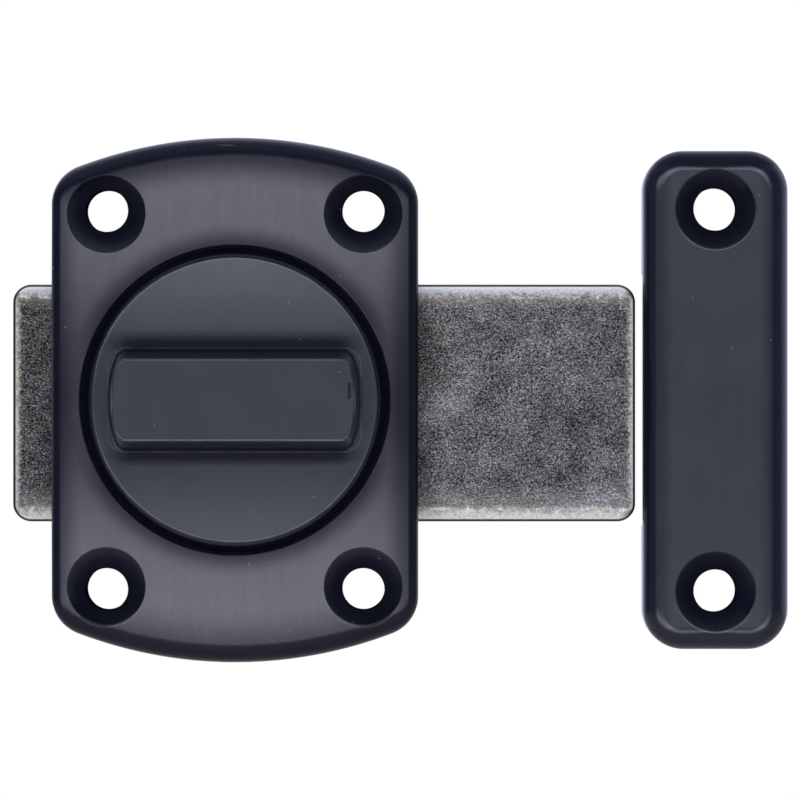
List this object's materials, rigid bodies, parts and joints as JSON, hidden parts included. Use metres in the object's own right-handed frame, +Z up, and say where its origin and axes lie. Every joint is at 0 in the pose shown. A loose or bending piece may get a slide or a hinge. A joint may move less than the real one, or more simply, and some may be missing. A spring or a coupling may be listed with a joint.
{
  "type": "toggle bolt latch",
  "caption": "Face-fixed sliding bolt latch: a turn knob with a grip bar drives a flat steel blade through a cast case toward a separate keep.",
  "frame": {"origin": "centre of the case's four fixing holes, on the back plane that lies on the door", "axes": "+X is the direction in which the blade is thrown, toward the keep; +Z is up; the face and the knob look along -Y"},
  "size_m": [0.0955, 0.022, 0.0644],
  "materials": {
    "black_enamel": "satin black enamel on a zinc casting",
    "plated_steel": "mottled nickel plate on rolled steel",
    "zinc_plate": "bright zinc plate",
    "spring_steel": "blued spring steel",
    "nylon": "natural nylon"
  },
  "bodies": {
    "case_body": {"case": "black_enamel", "back_plate": "zinc_plate", "back_plate_screws": "zinc_plate", "friction_spring_left": "spring_steel", "friction_spring_right": "spring_steel", "knob_washer": "nylon", "spring_washer": "spring_steel"},
    "knob_body": {"turn_knob": "black_enamel", "crank_plate": "zinc_plate", "crank_pin": "zinc_plate", "knob_screw": "zinc_plate"},
    "blade_body": {"bolt_blade": "plated_steel"},
    "keep_body": {"keep": "black_enamel"}
  },
  "joints": [
    {"name": "knob_turn", "type": "hinge", "parent": "case_body", "child": "knob_body", "pos_m": [0, 0, 0], "axis": [0, -1, 0], "range_deg": [0, 180]},
    {"name": "blade_slide", "type": "slide", "parent": "case_body", "child": "blade_body", "axis": [-1, 0, 0], "range_m": [0, 0.02181]},
    {"name": "keep_position", "type": "slide", "parent": "case_body", "child": "keep_body", "axis": [-1, 0, 0], "range_m": [0, 0.016]}
  ],
  "couplings": [
    {"joint": "blade_slide", "follows": "knob_turn", "m_per_rad": 0.0069391}
  ]
}
